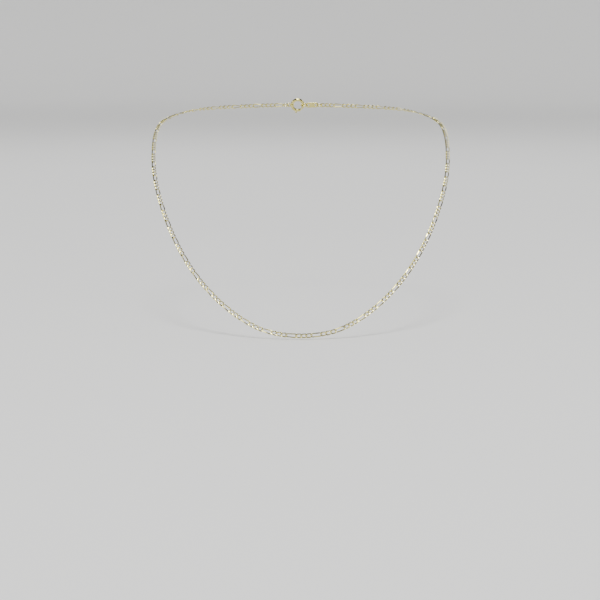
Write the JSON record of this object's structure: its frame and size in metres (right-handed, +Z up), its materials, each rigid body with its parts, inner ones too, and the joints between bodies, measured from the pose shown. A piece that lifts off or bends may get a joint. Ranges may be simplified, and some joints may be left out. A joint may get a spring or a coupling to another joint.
{
  "type": "chain necklace",
  "caption": "Slim flat Figaro chain necklace in pale yellow gold, in the loop it takes around a neck, closed by a spring ring clasp.",
  "frame": {"origin": "on the centre line of the neck inside the loop, level with the nape", "axes": "+Z up, -Y towards the wearer's front, +X towards the right of a front view"},
  "size_m": [0.1194, 0.1341, 0.0826],
  "materials": {
    "gold": "polished, diamond-cut pale yellow gold",
    "spring_steel": "drawn wire, bright"
  },
  "bodies": {
    "chain_repeat_24": {"chain_repeat_24": "gold"},
    "chain_repeat_23": {"chain_repeat_23": "gold"},
    "chain_repeat_22": {"chain_repeat_22": "gold"},
    "chain_repeat_21": {"chain_repeat_21": "gold"},
    "chain_repeat_20": {"chain_repeat_20": "gold"},
    "chain_repeat_19": {"chain_repeat_19": "gold"},
    "chain_repeat_18": {"chain_repeat_18": "gold"},
    "chain_repeat_17": {"chain_repeat_17": "gold"},
    "chain_repeat_16": {"chain_repeat_16": "gold"},
    "chain_repeat_15": {"chain_repeat_15": "gold"},
    "chain_repeat_14": {"chain_repeat_14": "gold"},
    "chain_repeat_13": {"chain_repeat_13": "gold"},
    "chain_repeat_12": {"chain_repeat_12": "gold"},
    "chain_repeat_11": {"chain_repeat_11": "gold"},
    "chain_repeat_10": {"chain_repeat_10": "gold"},
    "chain_repeat_09": {"chain_repeat_09": "gold"},
    "chain_repeat_08": {"chain_repeat_08": "gold"},
    "chain_repeat_07": {"chain_repeat_07": "gold"},
    "chain_repeat_06": {"chain_repeat_06": "gold"},
    "chain_repeat_05": {"chain_repeat_05": "gold"},
    "chain_repeat_04": {"chain_repeat_04": "gold"},
    "chain_repeat_03": {"chain_repeat_03": "gold"},
    "chain_repeat_02": {"chain_repeat_02": "gold"},
    "chain_repeat_01": {"chain_repeat_01": "gold"},
    "clasp_ring": {"clasp_ring": "gold"},
    "clasp": {"clasp_case": "gold", "clasp_spring": "spring_steel", "clasp_eye": "gold"},
    "clasp_bolt": {"clasp_bolt": "gold"},
    "chain_repeat_25": {"chain_repeat_25": "gold"},
    "chain_repeat_26": {"chain_repeat_26": "gold"},
    "chain_repeat_27": {"chain_repeat_27": "gold"},
    "chain_repeat_28": {"chain_repeat_28": "gold"},
    "chain_repeat_29": {"chain_repeat_29": "gold"},
    "chain_repeat_30": {"chain_repeat_30": "gold"},
    "chain_repeat_31": {"chain_repeat_31": "gold"},
    "chain_repeat_32": {"chain_repeat_32": "gold"},
    "chain_repeat_33": {"chain_repeat_33": "gold"},
    "chain_repeat_34": {"chain_repeat_34": "gold"},
    "chain_repeat_35": {"chain_repeat_35": "gold"},
    "chain_repeat_36": {"chain_repeat_36": "gold"},
    "chain_repeat_37": {"chain_repeat_37": "gold"},
    "chain_repeat_38": {"chain_repeat_38": "gold"},
    "chain_repeat_39": {"chain_repeat_39": "gold"},
    "chain_repeat_40": {"chain_repeat_40": "gold"},
    "chain_repeat_41": {"chain_repeat_41": "gold"},
    "chain_repeat_42": {"chain_repeat_42": "gold"},
    "chain_repeat_43": {"chain_repeat_43": "gold"},
    "chain_repeat_44": {"chain_repeat_44": "gold"},
    "chain_repeat_45": {"chain_repeat_45": "gold"},
    "chain_repeat_46": {"chain_repeat_46": "gold"},
    "chain_repeat_47": {"chain_repeat_47": "gold"},
    "tag_ring": {"tag_ring": "gold"},
    "end_tag": {"end_tag": "gold"},
    "end_ring": {"end_ring": "gold"}
  },
  "joints": [
    {"name": "repeat_23_twist", "type": "hinge", "parent": "chain_repeat_24", "child": "chain_repeat_23", "pos_m": [-0.00531, -0.09819, -0.07465], "axis": [0.9893, -0.1182, -0.0859], "range_deg": [-15, 15]},
    {"name": "repeat_22_twist", "type": "hinge", "parent": "chain_repeat_23", "child": "chain_repeat_22", "pos_m": [-0.01412, -0.0963, -0.07295], "axis": [-0.9114, 0.2856, 0.2963], "range_deg": [-15, 15]},
    {"name": "repeat_21_twist", "type": "hinge", "parent": "chain_repeat_22", "child": "chain_repeat_21", "pos_m": [-0.02188, -0.09297, -0.06935], "axis": [0.785, -0.4155, -0.4595], "range_deg": [-15, 15]},
    {"name": "repeat_20_sway", "type": "hinge", "parent": "chain_repeat_21", "child": "chain_repeat_20", "pos_m": [-0.02873, -0.08889, -0.06478], "axis": [-0.1156, -0.8189, 0.5622], "range_deg": [-15, 15]},
    {"name": "repeat_19_fold", "type": "hinge", "parent": "chain_repeat_20", "child": "chain_repeat_19", "pos_m": [-0.03477, -0.08439, -0.05951], "axis": [-0.7845, -0.279, -0.5538], "range_deg": [-45, 45]},
    {"name": "repeat_18_sway", "type": "hinge", "parent": "chain_repeat_19", "child": "chain_repeat_18", "pos_m": [-0.03998, -0.07934, -0.05386], "axis": [0.1179, 0.7727, -0.6237], "range_deg": [-15, 15]},
    {"name": "repeat_17_fold", "type": "hinge", "parent": "chain_repeat_18", "child": "chain_repeat_17", "pos_m": [-0.04432, -0.07373, -0.04801], "axis": [0.8973, 0.2142, 0.3859], "range_deg": [-45, 45]},
    {"name": "repeat_16_sway", "type": "hinge", "parent": "chain_repeat_17", "child": "chain_repeat_16", "pos_m": [-0.04799, -0.06768, -0.04213], "axis": [-0.1017, -0.7091, 0.6977], "range_deg": [-15, 15]},
    {"name": "repeat_15_fold", "type": "hinge", "parent": "chain_repeat_16", "child": "chain_repeat_15", "pos_m": [-0.05105, -0.06126, -0.0363], "axis": [-0.9497, -0.1648, -0.2665], "range_deg": [-45, 45]},
    {"name": "repeat_14_sway", "type": "hinge", "parent": "chain_repeat_15", "child": "chain_repeat_14", "pos_m": [-0.05358, -0.05441, -0.0307], "axis": [0.0843, 0.6222, -0.7783], "range_deg": [-15, 15]},
    {"name": "repeat_13_fold", "type": "hinge", "parent": "chain_repeat_14", "child": "chain_repeat_13", "pos_m": [-0.05563, -0.04714, -0.02546], "axis": [0.9783, 0.1199, 0.1688], "range_deg": [-45, 45]},
    {"name": "repeat_12_sway", "type": "hinge", "parent": "chain_repeat_13", "child": "chain_repeat_12", "pos_m": [-0.05715, -0.03953, -0.02052], "axis": [-0.0506, -0.5307, 0.8461], "range_deg": [-15, 15]},
    {"name": "repeat_11_fold", "type": "hinge", "parent": "chain_repeat_12", "child": "chain_repeat_11", "pos_m": [-0.05812, -0.03164, -0.0159], "axis": [-0.9966, -0.053, -0.0631], "range_deg": [-45, 45]},
    {"name": "repeat_10_sway", "type": "hinge", "parent": "chain_repeat_11", "child": "chain_repeat_10", "pos_m": [-0.05862, -0.0235, -0.01164], "axis": [0.0141, 0.4507, -0.8926], "range_deg": [-15, 15]},
    {"name": "repeat_09_fold", "type": "hinge", "parent": "chain_repeat_10", "child": "chain_repeat_09", "pos_m": [-0.05879, -0.01522, -0.00765], "axis": [1, -0.0073, -0.0066], "range_deg": [-45, 45]},
    {"name": "repeat_08_sway", "type": "hinge", "parent": "chain_repeat_09", "child": "chain_repeat_08", "pos_m": [-0.0583, -0.00666, -0.00433], "axis": [0.0313, -0.2999, 0.9534], "range_deg": [-15, 15]},
    {"name": "repeat_07_fold", "type": "hinge", "parent": "chain_repeat_08", "child": "chain_repeat_07", "pos_m": [-0.05725, 0.00221, -0.00215], "axis": [-0.9846, 0.16, 0.071], "range_deg": [-45, 45]},
    {"name": "repeat_06_sway", "type": "hinge", "parent": "chain_repeat_07", "child": "chain_repeat_06", "pos_m": [-0.05449, 0.01077, -0.00037], "axis": [0.0281, 0.2052, -0.9783], "range_deg": [-15, 15]},
    {"name": "repeat_05_fold", "type": "hinge", "parent": "chain_repeat_06", "child": "chain_repeat_05", "pos_m": [-0.04948, 0.01828, 0.00127], "axis": [0.7237, -0.6674, 0.1756], "range_deg": [-45, 45]},
    {"name": "repeat_04_sway", "type": "hinge", "parent": "chain_repeat_05", "child": "chain_repeat_04", "pos_m": [-0.04258, 0.02419, 0.00245], "axis": [-0.3371, 0.3966, 0.8538], "range_deg": [-15, 15]},
    {"name": "repeat_03_fold", "type": "hinge", "parent": "chain_repeat_04", "child": "chain_repeat_03", "pos_m": [-0.03429, 0.0281, 0.00305], "axis": [-0.2076, 0.6575, -0.7243], "range_deg": [-45, 45]},
    {"name": "repeat_02_fold", "type": "hinge", "parent": "chain_repeat_03", "child": "chain_repeat_02", "pos_m": [-0.02551, 0.03081, 0.00341], "axis": [0.0982, -0.5111, 0.8539], "range_deg": [-45, 45]},
    {"name": "repeat_01_fold", "type": "hinge", "parent": "chain_repeat_02", "child": "chain_repeat_01", "pos_m": [-0.01649, 0.03255, 0.00372], "axis": [-0.0327, 0.4302, -0.9021], "range_deg": [-45, 45]},
    {"name": "clasp_ring_fold", "type": "hinge", "parent": "chain_repeat_01", "child": "clasp_ring", "pos_m": [-0.00733, 0.03333, 0.0039], "axis": [0.0056, -0.3638, 0.9314], "range_deg": [-45, 45]},
    {"name": "clasp_twist", "type": "hinge", "parent": "clasp_ring", "child": "clasp", "pos_m": [-0.00525, 0.03342, 0.00392], "axis": [0.9992, 0.0396, 0.0106], "range_deg": [-30, 30]},
    {"name": "clasp_bolt_slide", "type": "hinge", "parent": "clasp", "child": "clasp_bolt", "pos_m": [-0.00132, 0.03349, 0.00394], "axis": [-0.0076, 0.9394, 0.3428], "range_deg": [0, 46], "stiffness_Nm_per_rad": 0.003, "springref_deg": -17.19, "deforming": ["clasp_spring"]},
    {"name": "repeat_25_twist", "type": "hinge", "parent": "chain_repeat_24", "child": "chain_repeat_25", "pos_m": [0.00387, -0.09834, -0.07476], "axis": [0.9943, 0.088, 0.06], "range_deg": [-15, 15]},
    {"name": "repeat_26_twist", "type": "hinge", "parent": "chain_repeat_25", "child": "chain_repeat_26", "pos_m": [0.01278, -0.0967, -0.07336], "axis": [-0.9303, -0.261, -0.2577], "range_deg": [-15, 15]},
    {"name": "repeat_27_twist", "type": "hinge", "parent": "chain_repeat_26", "child": "chain_repeat_27", "pos_m": [0.02073, -0.09357, -0.07001], "axis": [0.8008, 0.4028, 0.4432], "range_deg": [-15, 15]},
    {"name": "repeat_28_sway", "type": "hinge", "parent": "chain_repeat_27", "child": "chain_repeat_28", "pos_m": [0.0277, -0.08956, -0.06554], "axis": [0.119, -0.8194, 0.5607], "range_deg": [-15, 15]},
    {"name": "repeat_29_fold", "type": "hinge", "parent": "chain_repeat_28", "child": "chain_repeat_29", "pos_m": [0.03387, -0.08513, -0.06038], "axis": [0.7737, -0.2865, -0.5651], "range_deg": [-45, 45]},
    {"name": "repeat_30_sway", "type": "hinge", "parent": "chain_repeat_29", "child": "chain_repeat_30", "pos_m": [0.03921, -0.08018, -0.05476], "axis": [-0.1197, 0.7775, -0.6174], "range_deg": [-15, 15]},
    {"name": "repeat_31_fold", "type": "hinge", "parent": "chain_repeat_30", "child": "chain_repeat_31", "pos_m": [0.04369, -0.07464, -0.04894], "axis": [-0.8914, 0.2187, 0.3969], "range_deg": [-45, 45]},
    {"name": "repeat_32_sway", "type": "hinge", "parent": "chain_repeat_31", "child": "chain_repeat_32", "pos_m": [0.04744, -0.06866, -0.04305], "axis": [0.105, -0.713, 0.6932], "range_deg": [-15, 15]},
    {"name": "repeat_33_fold", "type": "hinge", "parent": "chain_repeat_32", "child": "chain_repeat_33", "pos_m": [0.05061, -0.0623, -0.03721], "axis": [0.9466, -0.1684, -0.2751], "range_deg": [-45, 45]},
    {"name": "repeat_34_sway", "type": "hinge", "parent": "chain_repeat_33", "child": "chain_repeat_34", "pos_m": [0.05321, -0.05552, -0.03156], "axis": [-0.0859, 0.6305, -0.7714], "range_deg": [-15, 15]},
    {"name": "repeat_35_fold", "type": "hinge", "parent": "chain_repeat_34", "child": "chain_repeat_35", "pos_m": [0.05534, -0.04831, -0.02627], "axis": [-0.9763, 0.1243, 0.177], "range_deg": [-45, 45]},
    {"name": "repeat_36_sway", "type": "hinge", "parent": "chain_repeat_35", "child": "chain_repeat_36", "pos_m": [0.05695, -0.04075, -0.02128], "axis": [0.0542, -0.5375, 0.8415], "range_deg": [-15, 15]},
    {"name": "repeat_37_fold", "type": "hinge", "parent": "chain_repeat_36", "child": "chain_repeat_37", "pos_m": [0.058, -0.0329, -0.01661], "axis": [0.9958, -0.0582, -0.0703], "range_deg": [-45, 45]},
    {"name": "repeat_38_sway", "type": "hinge", "parent": "chain_repeat_37", "child": "chain_repeat_38", "pos_m": [0.05856, -0.0248, -0.01229], "axis": [-0.0158, 0.453, -0.8914], "range_deg": [-15, 15]},
    {"name": "repeat_39_fold", "type": "hinge", "parent": "chain_repeat_38", "child": "chain_repeat_39", "pos_m": [0.0588, -0.01654, -0.00825], "axis": [-1, 0.0009, 0.0009], "range_deg": [-45, 45]},
    {"name": "repeat_40_sway", "type": "hinge", "parent": "chain_repeat_39", "child": "chain_repeat_40", "pos_m": [0.05843, -0.00803, -0.00478], "axis": [-0.0316, -0.3267, 0.9446], "range_deg": [-15, 15]},
    {"name": "repeat_41_fold", "type": "hinge", "parent": "chain_repeat_40", "child": "chain_repeat_41", "pos_m": [0.05747, 0.00081, -0.00245], "axis": [0.9887, 0.1344, 0.0659], "range_deg": [-45, 45]},
    {"name": "repeat_42_sway", "type": "hinge", "parent": "chain_repeat_41", "child": "chain_repeat_42", "pos_m": [0.05511, 0.00949, -0.00066], "axis": [-0.0065, 0.2171, -0.9761], "range_deg": [-15, 15]},
    {"name": "repeat_43_fold", "type": "hinge", "parent": "chain_repeat_42", "child": "chain_repeat_43", "pos_m": [0.0504, 0.01718, 0.00104], "axis": [-0.7622, -0.6356, 0.123], "range_deg": [-45, 45]},
    {"name": "repeat_44_sway", "type": "hinge", "parent": "chain_repeat_43", "child": "chain_repeat_44", "pos_m": [0.04379, 0.0234, 0.00231], "axis": [0.3434, 0.3384, 0.8761], "range_deg": [-15, 15]},
    {"name": "repeat_45_fold", "type": "hinge", "parent": "chain_repeat_44", "child": "chain_repeat_45", "pos_m": [0.03565, 0.02758, 0.00298], "axis": [0.2311, 0.6793, -0.6965], "range_deg": [-45, 45]},
    {"name": "repeat_46_fold", "type": "hinge", "parent": "chain_repeat_45", "child": "chain_repeat_46", "pos_m": [0.02691, 0.03043, 0.00336], "axis": [-0.1121, -0.5329, 0.8387], "range_deg": [-45, 45]},
    {"name": "repeat_47_fold", "type": "hinge", "parent": "chain_repeat_46", "child": "chain_repeat_47", "pos_m": [0.01792, 0.03235, 0.00368], "axis": [0.04, 0.4424, -0.8959], "range_deg": [-45, 45]},
    {"name": "tag_ring_twist", "type": "hinge", "parent": "chain_repeat_47", "child": "tag_ring", "pos_m": [0.00904, 0.03325, 0.00387], "axis": [0.9987, -0.0503, -0.0129], "range_deg": [-30, 30]},
    {"name": "end_tag_twist", "type": "hinge", "parent": "tag_ring", "child": "end_tag", "pos_m": [0.0067, 0.03337, 0.0039], "axis": [-0.9987, 0.0503, 0.0129], "range_deg": [-30, 30]},
    {"name": "end_ring_twist", "type": "hinge", "parent": "end_tag", "child": "end_ring", "pos_m": [0.00301, 0.03347, 0.00393], "axis": [1, -0.0086, -0.0027], "range_deg": [-30, 30]}
  ]
}
